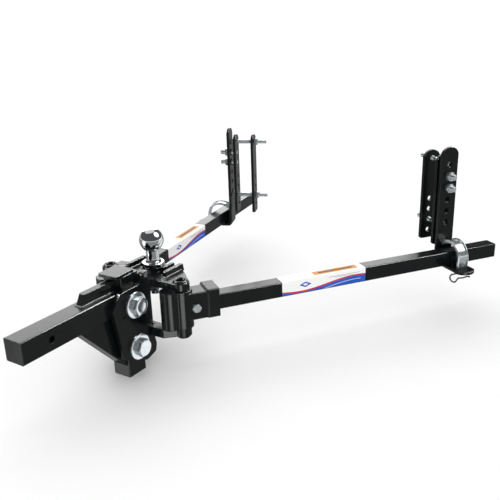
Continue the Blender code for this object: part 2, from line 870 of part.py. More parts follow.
def retainer(side, inward, place):
    half = RETAINER_THICK / 2
    low = RETAINER_AT - RETAINER_WIDTH / 2
    high = RETAINER_AT + RETAINER_WIDTH / 2
    outline = strap_outline(inward, RETAINER_RADIUS - half, RETAINER_RADIUS + half)
    obj = part(f"retainer_{side}", extruded(outline, low, high, "X"), "zinc", place)
    rib = strap_outline(inward, RETAINER_RADIUS, RETAINER_RADIUS + half + RETAINER_RIB)
    for start in (low - 0.0002, high - 0.004 + 0.0002):
        combine(obj, extruded(rib, start, start + 0.004, "X"), "UNION")
    leg = inward * (RETAINER_CENTRE[0] - RETAINER_RADIUS)
    at = (RETAINER_AT, leg, 0)
    combine(obj, prism(RETAINER_PIN, RETAINER_PIN_END, FOOT_TOP + 0.008, "Z", 16, at), "UNION")
    hole_at = (0, leg, CLIP_HOLE_Z)
    combine(obj, bore(CLIP_WIRE, low, high, "X", hole_at), "DIFFERENCE")


def clip_route():
    """The clip's wire in its own plane: through the pin, round the loop and back beside it."""
    straight = [(0.021, 0), (0.008, 0), (-0.008, 0), (-0.026, 0)]
    loop = arc(-0.030, -0.0105, 0.0105, 80, 290, 14)
    bow = [(-0.014, -0.0125), (0.0, -0.0145), (0.012, -0.0125), (0.022, -0.0155)]
    return straight + loop + bow


def hairpin_clip(side, inward, place):
    curve = bpy.data.curves.new(f"hairpin_clip_{side}", "CURVE")
    curve.dimensions = "3D"
    curve.bevel_depth = CLIP_WIRE / 2
    curve.bevel_resolution = 2
    curve.use_fill_caps = True
    route = clip_route()
    spline = curve.splines.new("POLY")
    spline.points.add(len(route) - 1)
    leg = RETAINER_CENTRE[0] - RETAINER_RADIUS
    for point, (along, aside) in zip(spline.points, route):
        y = inward * (leg + aside * math.sin(CLIP_TILT))
        z = CLIP_HOLE_Z + aside * math.cos(CLIP_TILT)
        point.co = (RETAINER_AT + along, y, z, 1)
    part(f"hairpin_clip_{side}", baked(curve), "zinc", place)


def build_side(side, sign, swing, reach, turn):
    """The socket, bar and bracket of one side. Inward is the local Y direction to the middle."""
    inward = -sign
    direction = "Y" if inward > 0 else "-Y"
    axis = empty(f"socket_axis_{side}", (PIVOT_X, sign * PIVOT_Y, 0), sign * swing)
    place = empty(f"bracket_place_{side}", (reach, 0, BAR_Z), sign * turn, axis)
    head_cheek(side, sign)
    socket_pivot_pin(side, sign)
    socket(side, axis)
    socket_collar(side, axis)
    socket_bolt(side, axis)
    spring_bar(side, axis)
    bar_label(side, axis)
    outer_start = L_FACE + PLATE_THICK + BRACKET_GAP
    inner_start = outer_start + PLATE_THICK + FRAME_GAP
    l_bracket(side, inward, place)
    frame_plate(side, inward, place, "outer", outer_start)
    frame_plate(side, inward, place, "inner", inner_start)
    frame_bolts(side, direction, inward, place, outer_start, inner_start)
    bracket_studs(side, direction, inward, place, outer_start)
    retainer(side, inward, place)
    hairpin_clip(side, inward, place)


def build():
    shank_bar()
    shank_top_rail()
    drop_post()
    post_cap()
    shank_gusset()
    head_top_plate()
    head_bottom_plate()
    head_rear_web()
    tilt_rivet()
    head_bolts()
    hitch_ball()
    for side, (sign, swing, reach, turn) in SIDES.items():
        build_side(side, sign, swing, reach, turn)


clear_scene()
PARTS = collection("weight_distribution_hitch")
CUTTERS = collection("cutters")
build()
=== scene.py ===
"""Weight distribution hitch: the finished look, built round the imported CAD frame.

Pieces are placed by the boxes of the CAD nodes and by the joints' axes. A side's local frame
has X along its spring bar, Y level across it and Z up, so a side's pieces are made there and
then placed.
"""

import json
import math

import bmesh
import bpy
from mathutils import Matrix, Vector

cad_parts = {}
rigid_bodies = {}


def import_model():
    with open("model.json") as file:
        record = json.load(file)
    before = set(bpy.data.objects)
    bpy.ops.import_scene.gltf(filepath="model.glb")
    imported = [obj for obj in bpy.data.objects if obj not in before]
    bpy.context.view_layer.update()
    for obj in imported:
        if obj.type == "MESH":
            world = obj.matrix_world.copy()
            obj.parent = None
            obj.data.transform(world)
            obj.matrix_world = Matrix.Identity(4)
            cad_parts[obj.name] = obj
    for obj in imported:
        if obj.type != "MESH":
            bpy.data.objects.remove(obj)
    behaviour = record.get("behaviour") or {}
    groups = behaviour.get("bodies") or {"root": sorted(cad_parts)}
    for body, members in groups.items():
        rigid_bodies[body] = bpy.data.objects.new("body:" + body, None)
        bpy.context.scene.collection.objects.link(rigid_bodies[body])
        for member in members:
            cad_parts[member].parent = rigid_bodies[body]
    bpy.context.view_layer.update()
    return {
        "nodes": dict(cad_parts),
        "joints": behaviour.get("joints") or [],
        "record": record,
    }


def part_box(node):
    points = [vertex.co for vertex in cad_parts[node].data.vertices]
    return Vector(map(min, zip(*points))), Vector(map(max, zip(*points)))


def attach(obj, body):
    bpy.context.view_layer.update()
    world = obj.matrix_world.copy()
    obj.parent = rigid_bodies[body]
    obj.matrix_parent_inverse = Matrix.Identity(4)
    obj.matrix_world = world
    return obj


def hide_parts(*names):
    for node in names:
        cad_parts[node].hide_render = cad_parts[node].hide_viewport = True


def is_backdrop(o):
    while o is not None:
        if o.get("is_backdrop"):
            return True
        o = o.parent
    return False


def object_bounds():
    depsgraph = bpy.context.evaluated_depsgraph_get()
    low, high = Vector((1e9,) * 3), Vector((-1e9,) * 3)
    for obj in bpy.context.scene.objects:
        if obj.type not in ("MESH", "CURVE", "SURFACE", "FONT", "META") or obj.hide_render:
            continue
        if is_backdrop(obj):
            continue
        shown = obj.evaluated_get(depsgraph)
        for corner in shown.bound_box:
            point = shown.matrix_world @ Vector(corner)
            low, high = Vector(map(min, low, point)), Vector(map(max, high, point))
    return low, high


SIDES = ("near", "far")
# Which way along local Y the middle of the hitch lies
INWARD = {"near": 1, "far": -1}
# How far inwards of a bracket's zero in local Y, its bar's centre line, its frame plates start
PLATE_OFFSET = 0.0508

# Camera: the point it looks at, its direction and roll, its distance, its lens and sensor in mm.
# AZIMUTH is the way it looks, from +Y towards +X, and ELEVATION is how far it looks down.
LOOKS_AT = Vector((0.7759, -0.05, -0.0286))
AZIMUTH = math.radians(56.81)
ELEVATION = math.radians(19.85)
ROLL = math.radians(-1.8)
DISTANCE = 1.8954
LENS = 48.11
SENSOR = 36

# Points round a smooth turning, and round a piece that has a hexagon or a thread
ROUND = 96
HEX_STEPS = 48
# Fasteners: width across the flats, radius of the thread, and its pitch
LARGE = (0.0381, 0.0127, 0.0031)
SMALL = (0.01905, 0.00635, 0.00195)
STUD = (0.02223, 0.00714, 0.00195)
BALL_STEM = (0.0476, 0.0158, 0.0031)
# A thread's depth as a share of its pitch, its rings in each pitch, and the rings it fades over
THREAD_DEPTH = 0.54
THREAD_RINGS = 5
FADE_RINGS = 6
# Slope of the chamfer on a hexagon's corners
CHAMFER = math.tan(math.radians(30))
# Radius of a hairpin clip's wire, and of a weld on the shank and head
WIRE = 0.0021
WELD = 0.0027
# Edges sharper than this are shaded sharp
SHARP = math.radians(32)

# Steps up the ball, round a cast rim or lip, round and down a strap, and round a clip's eye
BALL_STEPS = 56
ARC_STEPS = 24
STRAP_STEPS = 48
LEG_STEPS = 6
EYE_STEPS = 24
# Weld beads: the step along one, the length of a ripple, and the points round it
BEAD_STEP = 0.0009
RIPPLE_LENGTH = 0.0042
BEAD_SIDES = 14

# Surfaces: each one's colour, and the second colour that its noise fades to
BLACK = (0.0030, 0.0044, 0.0046, 1)
BLACK_HAZE = (0.0046, 0.0064, 0.0067, 1)
ZINC = (0.78, 0.83, 0.85, 1)
ZINC_CLOUD = (0.68, 0.75, 0.77, 1)
CHROME = (0.66, 0.68, 0.69, 1)
CHROME_SMUDGE = (0.58, 0.61, 0.63, 1)
STEEL = (0.20, 0.22, 0.23, 1)
STEEL_CLOUD = (0.30, 0.32, 0.33, 1)
FLOOR = (0.86, 0.86, 0.86, 1)
FLOOR_TONE = (0.88, 0.88, 0.88, 1)

# Printed label
WHITE = (0.88, 0.88, 0.87, 1)
LABEL_TONE = (0.62, 0.62, 0.62, 1)
BLUE = (0.010, 0.085, 0.48, 1)
PALE_BLUE = (0.45, 0.55, 0.78, 1)
RED = (0.60, 0.012, 0.025, 1)
BROWN = (0.10, 0.045, 0.02, 1)
ORANGE = (0.66, 0.27, 0.05, 1)
GREY = (0.16, 0.18, 0.22, 1)
# Half of the bar's section. Levels up its side are counted in it, from -1 to 1.
HALF_BAR = 0.019
# The side's marks end below the first of these levels, and the top's start over the second
SIDE_TOP = 0.93
TOP_START = 0.96
# The wave on the side: its angle over the label's length and at its start, in radians, and
# its height and middle, in levels. The pale and red lines are counted up from the wave.
WAVE_TURN = 4.8
WAVE_START = -2.6
WAVE_HEIGHT = 0.45
WAVE_LEVEL = -0.30
PALE_OVER = (-0.50, -0.40)
PALE_SHARE = (0.30, 0.94)
RED_OVER = (0.0, 0.20)
# The outlined diamond: its centre and slope along the label and up it, and its outline's range
DIAMOND_SHARE = (0.27, 14.0)
DIAMOND_LEVEL = (0.22, 2.6)
DIAMOND_RING = (0.45, 1.0)
# Two rules on the side: their levels, and their shares of the label's length
SIDE_RULES = (((0.56, 0.62), (0.55, 0.93)), ((0.40, 0.44), (0.62, 0.86)))
# Bars on the top: their colours, their widths across the bar, and their shares of the length
TOP_BARS = (
    (ORANGE, (-0.011, 0.011), (0.40, 0.93)),
    (BROWN, (-0.004, 0.004), (0.46, 0.88)),
    (GREY, (0.003, 0.0045), (0.10, 0.33)),
)

# Lights: name, azimuth from the way the camera looks, elevation and spread in degrees,
# strength, the kind of light that each adds, and the looks that it reaches (none for all)
SUNS = (
    ("dome", 0, 89, 170, 1.15, "diffuse", ()),
    ("overhead", -25, 66, 75, 1.45, "diffuse", ()),
    ("front_fill", 160, 32, 80, 1.20, "diffuse", ()),
    ("behind", -10, 34, 60, 0.50, "diffuse", ()),
    ("ceiling", -25, 66, 62, 0.72, "glossy", ()),
    ("top_sheen", -12, 24, 50, 1.70, "glossy", ()),
    ("front_sheen", -114, -20, 40, 0.55, "glossy", ()),
    ("edge_long", 66, 37, 20, 10.0, "glossy", ("black_paint",)),
    ("edge_bar", 108, 53, 20, 6.0, "glossy", ("black_paint",)),
    ("edge_cross", -91, 42, 20, 7.0, "glossy", ("black_paint",)),
    ("metal_low", 76, -26, 60, 0.60, "glossy", ("zinc", "chrome")),
    ("metal_side", 90, 45, 45, 1.10, "glossy", ("zinc", "chrome")),
    ("edge_upright", 167, -24, 24, 0.7, "glossy", ("black_paint",)),
)


# Node graphs


class Graph:
    """A node tree, with short calls for the maths between its nodes."""

    def __init__(self, tree):
        self.tree = tree

    def add(self, kind, **values):
        node = self.tree.nodes.new(kind)
        for key, value in values.items():
            setattr(node, key, value)
        return node

    def link(self, source, target):
        self.tree.links.new(source, target)

    def put(self, value, socket):
        """Links an output, or sets a plain number."""
        if isinstance(value, bpy.types.NodeSocket):
            self.link(value, socket)
        else:
            socket.default_value = value

    def maths(self, operation, first, second=0.0, third=0.0):
        node = self.add("ShaderNodeMath", operation=operation)
        for socket, value in zip(node.inputs, (first, second, third)):
            self.put(value, socket)
        return node.outputs[0]

    def less(self, first, second):
        return self.maths("LESS_THAN", first, second)

    def between(self, value, low, high):
        return self.both(self.less(low, value), self.less(value, high))

    def both(self, first, second):
        return self.maths("MULTIPLY", first, second)

    def larger(self, first, second):
        return self.maths("MAXIMUM", first, second)

    def off(self, value, centre, slope):
        """How far a value is from its centre, either way, times a slope."""
        away = self.maths("MULTIPLY", self.maths("SUBTRACT", value, centre), slope)
        return self.maths("ABSOLUTE", away)

    def place(self, kind="Object"):
        return self.add("ShaderNodeTexCoord").outputs[kind]

    def axes(self, vector):
        node = self.add("ShaderNodeSeparateXYZ")
        self.link(vector, node.inputs["Vector"])
        return node.outputs

    def noise(self, scale, detail, roughness=0.5):
        """Noise over a piece's own position, so that it doesn't depend on a UV map."""
        node = self.add("ShaderNodeTexNoise")
        node.inputs["Scale"].default_value = scale
        node.inputs["Detail"].default_value = detail
        node.inputs["Roughness"].default_value = roughness
        self.link(self.place(), node.inputs["Vector"])
        return node.outputs["Fac"]

    def spread(self, value, low, high, start=0.3, end=0.7, blend="LINEAR"):
        """Maps start to low and end to high. The usual start and end are a noise's range."""
        node = self.add("ShaderNodeMapRange", interpolation_type=blend)
        self.link(value, node.inputs["Value"])
        node.inputs["From Min"].default_value = start
        node.inputs["From Max"].default_value = end
        node.inputs["To Min"].default_value = low
        node.inputs["To Max"].default_value = high
        return node.outputs["Result"]

    def mix(self, factor, first, second):
        node = self.add("ShaderNodeMix", data_type="RGBA")
        self.put(factor, node.inputs["Factor"])
        self.put(first, node.inputs["A"])
        self.put(second, node.inputs["B"])
        return node.outputs["Result"]

    def bump(self, height, strength, distance, normal=None):
        """A bumped normal, over another normal if one is given."""
        node = self.add("ShaderNodeBump")
        node.inputs["Strength"].default_value = strength
        node.inputs["Distance"].default_value = distance
        self.link(height, node.inputs["Height"])
        if normal is not None:
            self.link(normal, node.inputs["Normal"])
        return node.outputs["Normal"]

    def soft_edges(self, radius):
        node = self.add("ShaderNodeBevel", samples=6)
        node.inputs["Radius"].default_value = radius
        return node.outputs["Normal"]


class Surface(Graph):
    """A material's nodes, which feed its shader."""

    def __init__(self, name):
        self.material = bpy.data.materials.new(name)
        self.material.use_nodes = True
        super().__init__(self.material.node_tree)
        self.shader = self.tree.nodes["Principled BSDF"]

    def feed(self, name, output):
        self.link(output, self.shader.inputs[name])

    def set(self, **values):
        for key, value in values.items():
            self.shader.inputs[key.replace("_", " ")].default_value = value


# Materials


def black_paint():
    """Glossy powder coat with fine orange peel, faint haze and slightly softened edges."""
    g = Surface("black_powder_coat")
    haze = g.noise(9.0, 5.0, 0.6)
    peel = g.noise(420.0, 2.0)
    g.feed("Base Color", g.mix(g.spread(haze, 0, 1), BLACK, BLACK_HAZE))
    g.feed("Roughness", g.spread(haze, 0.13, 0.22))
    g.feed("Normal", g.bump(peel, 0.04, 0.0003, g.soft_edges(0.0026)))
    g.set(Metallic=0.0, Specular_IOR_Level=0.30)
    return g.material


def zinc_plate():
    """Bright zinc: a lightly brushed metal with cloudy patches."""
    g = Surface("bright_zinc")
    cloud = g.noise(60.0, 4.0, 0.6)
    grain = g.noise(900.0, 2.0)
    g.feed("Base Color", g.mix(g.spread(cloud, 0, 1), ZINC, ZINC_CLOUD))
    g.feed("Roughness", g.spread(cloud, 0.17, 0.23))
    g.feed("Normal", g.bump(grain, 0.06, 0.0002, g.soft_edges(0.0006)))
    g.set(Metallic=0.90)
    return g.material


def chrome_plate():
    """The ball's mirror finish, with faint smudges."""
    g = Surface("polished_chrome")
    smudge = g.noise(35.0, 3.0)
    g.feed("Base Color", g.mix(g.spread(smudge, 0, 1), CHROME, CHROME_SMUDGE))
    g.feed("Roughness", g.spread(smudge, 0.035, 0.075))
    g.set(Metallic=1.0)
    return g.material


def spring_steel():
    """The dull bare wire of the hairpin clips."""
    g = Surface("spring_steel")
    cloud = g.noise(120.0, 3.0)
    g.feed("Base Color", g.mix(g.spread(cloud, 0, 1), STEEL, STEEL_CLOUD))
    g.feed("Roughness", g.spread(cloud, 0.22, 0.34))
    g.set(Metallic=1.0)
    return g.material


def label_axes(g, side):
    """The share of the label's length, the distance across the bar, and the level up its side."""
    pivot, angle, height = bar_place(side)
    move = g.add("ShaderNodeMapping", vector_type="TEXTURE")
    move.inputs["Location"].default_value = (pivot.x, pivot.y, height)
    move.inputs["Rotation"].default_value = (0, 0, angle)
    g.link(g.place(), move.inputs["Vector"])
    along, across, up = g.axes(move.outputs["Vector"])
    low, high = side_box(side, f"bar_label_{side}")
    share = g.maths("DIVIDE", g.maths("SUBTRACT", along, low.x), high.x - low.x)
    return share, across, g.maths("DIVIDE", up, HALF_BAR)


def label_print(side):
    """A plain white label: a blue wave with a red line over it, and plain bars on top."""
    g = Surface(f"label_print_{side}")
    share, across, level = label_axes(g, side)
    on_side = g.less(level, SIDE_TOP)
    on_top = g.less(TOP_START, level)
    swell = g.maths("SINE", g.maths("MULTIPLY_ADD", share, WAVE_TURN, WAVE_START))
    wave = g.maths("MULTIPLY_ADD", swell, WAVE_HEIGHT, WAVE_LEVEL)
    over = g.maths("SUBTRACT", level, wave)
    pale = g.both(g.between(over, *PALE_OVER), g.between(share, *PALE_SHARE))
    diamond = g.maths("ADD", g.off(share, *DIAMOND_SHARE), g.off(level, *DIAMOND_LEVEL))
    marks = [
        (g.both(g.less(over, 0), on_side), BLUE),
        (g.both(pale, on_side), PALE_BLUE),
        (g.both(g.between(over, *RED_OVER), on_side), RED),
        (g.both(g.between(diamond, *DIAMOND_RING), on_side), BLUE),
    ]
    for levels, shares in SIDE_RULES:
        marks.append((g.both(g.between(level, *levels), g.between(share, *shares)), GREY))
    for paint, widths, shares in TOP_BARS:
        bar = g.both(g.between(across, *widths), g.between(share, *shares))
        marks.append((g.both(bar, on_top), paint))
    colour = WHITE
    for factor, paint in marks:
        colour = g.mix(factor, colour, paint)
    tone = g.noise(30.0, 3.0)
    g.feed("Base Color", g.mix(g.spread(tone, 0.0, 0.05), colour, LABEL_TONE))
    g.feed("Roughness", g.spread(tone, 0.42, 0.52))
    g.feed("Normal", g.bump(g.noise(160.0, 2.0), 0.06, 0.0003))
    g.set(Metallic=0.0, Specular_IOR_Level=0.15)
    return g.material


def pale_floor():
    """A matt floor, close to white."""
    g = Surface("studio_floor")
    tone = g.noise(3.0, 2.0)
    g.feed("Base Color", g.mix(g.spread(tone, 0, 1), FLOOR, FLOOR_TONE))
    g.set(Roughness=0.9, Specular_IOR_Level=0.1)
    return g.material


# Places


def joint(name):
    """A joint's row in the frame."""
    return next(j for j in frame["joints"] if j["name"] == name)


def bar_place(side):
    """A side's pivot point, the angle of its bar about Z, and the height of the bar's centre."""
    pivot = Vector(joint(f"socket_swing_{side}")["pos_m"])
    x, y, _ = joint(f"bracket_slide_{side}")["axis"]
    low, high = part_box(f"spring_bar_{side}")
    return pivot, math.atan2(y, x), (low.z + high.z) / 2


def side_frame(side):
    """The side's local frame, with its origin on the pivot axis at the bar's height."""
    pivot, angle, height = bar_place(side)
    return Matrix.Translation((pivot.x, pivot.y, height)) @ Matrix.Rotation(angle, 4, "Z")


def bracket_frame(side):
    """The local frame of a side's bracket, which may be turned out from its bar."""
    pivot, _, height = bar_place(side)
    x, y, _ = joint(f"clip_pull_{side}")["axis"]
    turned_by = Matrix.Rotation(math.atan2(-y, -x), 4, "Z")
    place = Matrix.Translation((pivot.x, pivot.y, height)) @ turned_by
    low, high = box_in(f"frame_plate_outer_{side}", place)
    face = low.y if side == "near" else high.y
    middle = face - INWARD[side] * PLATE_OFFSET
    return place @ Matrix.Translation(((low.x + high.x) / 2, middle, 0))


def box_in(node, place):
    """A CAD node's lowest and highest corners in a local frame."""
    back = place.inverted()
    points = [back @ v.co for v in frame["nodes"][node].data.vertices]
    low = Vector([min(p[k] for p in points) for k in range(3)])
    high = Vector([max(p[k] for p in points) for k in range(3)])
    return low, high


def side_box(side, node):
    """A CAD node's corners in its side's local frame."""
    return box_in(node, side_frame(side))


# Meshes


def skin(rings, ends="capped"):
    """Joins rings of equally many points. Ends are capped, or the last ring joins the first."""
    mesh = bpy.data.meshes.new("skin")
    shape = bmesh.new()
    made = [[shape.verts.new(p) for p in ring] for ring in rings]
    pairs = list(zip(made, made[1:]))
    if ends == "looped":
        pairs.append((made[-1], made[0]))
    count = len(made[0])
    for one, two in pairs:
        for k in range(count):
            shape.faces.new((one[k], one[(k + 1) % count], two[(k + 1) % count], two[k]))
    if ends == "capped":
        shape.faces.new(made[0][::-1])
        shape.faces.new(made[-1])
    bmesh.ops.recalc_face_normals(shape, faces=shape.faces)
    shape.to_mesh(mesh)
    shape.free()
    return mesh


def circle(radius, height, count=ROUND):
    """A ring about Z, for skin."""
    steps = [2 * math.pi * k / count for k in range(count)]
    return [(radius * math.cos(a), radius * math.sin(a), height) for a in steps]


def hexagon(flats, height, slope=0.0):
    """A ring on a hexagon. Its height changes by slope for each metre out past the flats."""
    half = flats / 2
    ring = []
    for k in range(HEX_STEPS):
        angle = 2 * math.pi * k / HEX_STEPS
        radius = half / math.cos(angle % (math.pi / 3) - math.pi / 6)
        change = slope * (radius - half * 0.98)
        ring.append((radius * math.cos(angle), radius * math.sin(angle), height + change))
    return ring


def thread(radius, start, end, pitch):
    """Rings of a screw thread from start to end, up or down, which fades at both ends."""
    depth = pitch * THREAD_DEPTH
    steps = max(4, round(abs(end - start) / pitch * THREAD_RINGS))
    rings = []
    for n in range(steps + 1):
        height = start + (end - start) * n / steps
        fade = min(1, n / FADE_RINGS, (steps - n) / FADE_RINGS)
        ring = []
        for k in range(HEX_STEPS):
            angle = 2 * math.pi * k / HEX_STEPS
            turn = (height / pitch - k / HEX_STEPS) % 1
            r = radius - depth * fade * abs(2 * turn - 1)
            ring.append((r * math.cos(angle), r * math.sin(angle), height))
        rings.append(ring)
    return rings


def bolt_mesh(size, head, length, threaded):
    """A bolt along +Z, threaded over the end of its length. Its head lies below the origin."""
    flats, radius, pitch = size
    half = flats / 2
    rings = [
        circle(half * 0.55, -head + 0.0006, HEX_STEPS),
        circle(half * 0.62, -head, HEX_STEPS),
        circle(half * 0.93, -head, HEX_STEPS),
        hexagon(flats, -head + 0.0004, CHAMFER),
        hexagon(flats, -0.0007),
        circle(half * 0.95, -0.0006, HEX_STEPS),
        circle(half * 0.95, 0, HEX_STEPS),
        circle(radius, 0, HEX_STEPS),
        circle(radius, length - threaded, HEX_STEPS),
    ]
    rings += thread(radius, length - threaded + 0.0005, length - 0.0012, pitch)
    rings.append(circle(radius * 0.86, length, HEX_STEPS))
    return skin(rings)


def nut_mesh(size, thick):
    """A nut from the origin up, chamfered on both faces, with its thread inside."""
    flats, radius, pitch = size
    half = flats / 2
    rings = [
        circle(radius * 1.08, 0, HEX_STEPS),
        circle(half * 0.93, 0, HEX_STEPS),
        hexagon(flats, 0.0004, CHAMFER),
        hexagon(flats, thick - 0.0004, -CHAMFER),
        circle(half * 0.93, thick, HEX_STEPS),
        circle(radius * 1.08, thick, HEX_STEPS),
    ]
    rings += thread(radius * 1.01, thick - 0.0012, 0.0012, pitch)
    return skin(rings, "looped")


def washer_mesh(outer, inner, thick):
    """A stamped washer from the origin up, with a rolled rim on its upper face."""
    edge = thick * 0.22
    rings = [
        circle(inner, 0),
        circle(outer - edge / 2, 0),
        circle(outer, edge / 2),
        circle(outer, thick - edge * 1.4),
        circle(outer - edge * 0.5, thick - edge * 0.4),
        circle(outer - edge * 1.6, thick),
        circle(inner + edge / 2, thick),
        circle(inner, thick - edge / 2),
    ]
    return skin(rings, "looped")


def turned(profile, count=ROUND):
    """A solid of revolution about Z from (radius, height) pairs, bottom first."""
    return skin([circle(max(r, 0.0002), z, count) for r, z in profile])


def bead_mesh(path, radius, closed=False, ripple=0.10):
    """A weld bead along a path: a rounded ridge with ripples along it, by a share of its radius."""
    points = []
    count = len(path)
    for k in range(count if closed else count - 1):
        start, end = Vector(path[k]), Vector(path[(k + 1) % count])
        steps = max(2, round((end - start).length / BEAD_STEP))
        points += [start.lerp(end, n / steps) for n in range(steps)]
    if not closed:
        points.append(Vector(path[-1]))
    rings = []
    travelled = 0.0
    last = len(points) - 1
    for k, point in enumerate(points):
        if closed:
            ahead, behind = points[(k + 1) % len(points)], points[k - 1]
        else:
            ahead, behind = points[min(k + 1, last)], points[max(k - 1, 0)]
        along = (ahead - behind).normalized()
        helper = Vector((0, 0, 1)) if abs(along.z) < 0.8 else Vector((0, 1, 0))
        right = along.cross(helper).normalized()
        up = right.cross(along)
        if k:
            travelled += (point - points[k - 1]).length
        size = radius * (1 + ripple * math.sin(travelled / RIPPLE_LENGTH * 2 * math.pi))
        # A second, slower wave keeps the ripples from looking regular
        size *= 1 + 0.8 * ripple * math.sin(travelled * 310 + 1.3)
        # An open bead's ends taper
        if not closed:
            size *= min(1, 0.45 + min(k, last - k) * 0.2)
        ring = []
        for n in range(BEAD_SIDES):
            a = 2 * math.pi * n / BEAD_SIDES
            ring.append(point + size * (math.cos(a) * right + math.sin(a) * up))
        rings.append(ring)
    return skin(rings, "looped" if closed else "capped")


# Pieces


def piece(name, mesh, slot, body, place=None, stands_for=(), look=None):
    """A finished piece on its body. Its look is its slot's own unless another is named."""
    mesh.name = name
    mesh.materials.append(LOOK[look or slot])
    mesh.shade_smooth()
    mesh.set_sharp_from_angle(angle=SHARP)
    if place is not None:
        mesh.transform(place)
    obj = bpy.data.objects.new(name, mesh)
    bpy.context.scene.collection.objects.link(obj)
    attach(obj, body)
    if stands_for:
        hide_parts(*stands_for)


def aimed(place, centre, along):
    """A frame at a point, whose Z runs along the given local axis."""
    turn = Vector((0, 0, 1)).rotation_difference(Vector(along)).to_matrix().to_4x4()
    return place @ Matrix.Translation(centre) @ turn


def across_box(node, place, sign):
    """A fastener's centre, its start and end along local Y in the order of sign, and its height."""
    low, high = box_in(node, place)
    centre = (low + high) / 2
    start, end = (low.y, high.y) if sign > 0 else (high.y, low.y)
    return centre, start, end, high.z - low.z


def zinc_bolt(node, body, place, sign, size, head, threaded):
    """A bolt in a CAD bolt's place, with its head outside and its shank along sign."""
    centre, start, end, _ = across_box(node, place, sign)
    seat = start + sign * head
    mesh = bolt_mesh(size, head, abs(end - seat), threaded)
    at = aimed(place, (centre.x, seat, centre.z), (0, sign, 0))
    piece(f"{node}_threaded", mesh, "zinc", body, at, [node])


def zinc_nut(node, body, place, sign, size):
    """A nut in a CAD nut's place, as thick as it is."""
    centre, start, end, _ = across_box(node, place, sign)
    mesh = nut_mesh(size, abs(end - start))
    at = aimed(place, (centre.x, start, centre.z), (0, sign, 0))
    piece(f"{node}_threaded", mesh, "zinc", body, at, [node])


def head_fasteners():
    """The two large bolts across the head, and the nut and washer of each."""
    world = Matrix.Identity(4)
    for level in ("upper", "lower"):
        zinc_bolt(f"head_bolt_{level}", "root", world, 1, LARGE, head=0.0155, threaded=0.028)
        zinc_nut(f"head_nut_{level}", "root", world, 1, LARGE)
        node = f"head_washer_{level}"
        centre, start, end, tall = across_box(node, world, 1)
        at = aimed(world, (centre.x, end, centre.z), (0, -1, 0))
        mesh = washer_mesh(tall / 2, 0.0133, end - start)
        piece(f"{node}_rolled", mesh, "zinc", "root", at, [node])


def hitch_ball():
    """The ball, its neck and its flange as one smooth turning, and the nut under the plate."""
    low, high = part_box("hitch_ball")
    axis = (low + high) / 2
    radius, neck, stem, flange = 0.02937, 0.0155, BALL_STEM[1], 0.0270
    # The heights of the flange's two faces, and the angle and the height, as a share of the
    # radius, where the ball's crown turns flat
    seat, top = 0.0383, 0.0473
    crown, crown_height = math.radians(78), 0.9781
    centre = high.z - radius * crown_height
    profile = [(stem, low.z), (stem, seat), (flange - 0.0008, seat), (flange, seat + 0.0008)]
    profile += [(flange, top - 0.0016), (flange - 0.0008, top - 0.0004), (flange - 0.0025, top)]
    # The fillet between the flange and the neck
    profile += [(neck + 0.0048, top + 0.0010), (neck + 0.0022, top + 0.0032)]
    profile += [(neck + 0.0006, top + 0.0068), (neck, top + 0.0105)]
    # The ball runs from where its neck meets it up to a flat crown
    lowest = -math.acos(neck / radius)
    for k in range(BALL_STEPS + 1):
        a = lowest + (crown - lowest) * k / BALL_STEPS
        profile.append((radius * math.cos(a), centre + radius * math.sin(a)))
    profile.append((0.0002, high.z))
    at = Matrix.Translation((axis.x, axis.y, 0))
    piece("hitch_ball_polished", turned(profile, 128), "chrome", "root", at, ["hitch_ball"])
    low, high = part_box("ball_nut")
    at = Matrix.Translation((axis.x, axis.y, low.z))
    mesh = nut_mesh(BALL_STEM, high.z - low.z)
    piece("ball_nut_threaded", mesh, "zinc", "root", at, ["ball_nut"])


def welds():
    """Painted weld beads where the shank, rail, gusset, post and head plates are joined."""
    rail_low, rail_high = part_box("shank_top_rail")
    gusset_low, gusset_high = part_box("shank_gusset")
    cap_low, cap_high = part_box("post_cap")
    post_low, post_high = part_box("drop_post")
    web_low, web_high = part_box("head_rear_web")
    plate_low, plate_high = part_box("head_bottom_plate")
    # How far out the lower ears are welded to the cheeks
    ear = 0.0388
    front, rear, z = rail_low.x, post_low.x - 0.004, rail_low.z
    runs = {
        "rail": [
            (rear, rail_high.y, z),
            (front, rail_high.y, z),
            (front, rail_low.y, z),
            (rear, rail_low.y, z),
        ]
    }
    for side, sign in (("near", -1), ("far", 1)):
        y, z = sign * (gusset_high.y + 0.0002), gusset_high.z
        runs[f"gusset_{side}"] = [(gusset_low.x + 0.004, y, z), (post_low.x - 0.003, y, z)]
        y, z = sign * (post_high.y + 0.0004), cap_low.z - 0.0008
        runs[f"cap_{side}"] = [(post_low.x + 0.002, y, z), (cap_high.x - 0.002, y, z)]
        y, x = sign * (web_high.y - 0.0004), web_high.x
        runs[f"web_upper_{side}"] = [(x, y, plate_high.z + 0.004), (x, y, web_high.z - 0.003)]
        runs[f"web_lower_{side}"] = [(x, y, web_low.z + 0.004), (x, y, plate_low.z - 0.003)]
        y = sign * ear
        runs[f"ear_top_{side}"] = [(x + 0.004, y, plate_high.z), (x + 0.016, y, plate_high.z)]
        runs[f"ear_under_{side}"] = [(x + 0.004, y, plate_low.z), (x + 0.016, y, plate_low.z)]
    for name, path in runs.items():
        piece(f"weld_{name}", bead_mesh(path, WELD), "black_paint", "root")


def arc(centre, radius, start, end, level, flat):
    """Points on an arc at a level: flat in X and Y, or upright in X and Z. Angles in degrees."""
    points = []
    for k in range(ARC_STEPS + 1):
        a = math.radians(start + (end - start) * k / ARC_STEPS)
        along, other = centre[0] + radius * math.cos(a), centre[1] + radius * math.sin(a)
        points.append((along, other, level) if flat else (along, level, other))
    return points


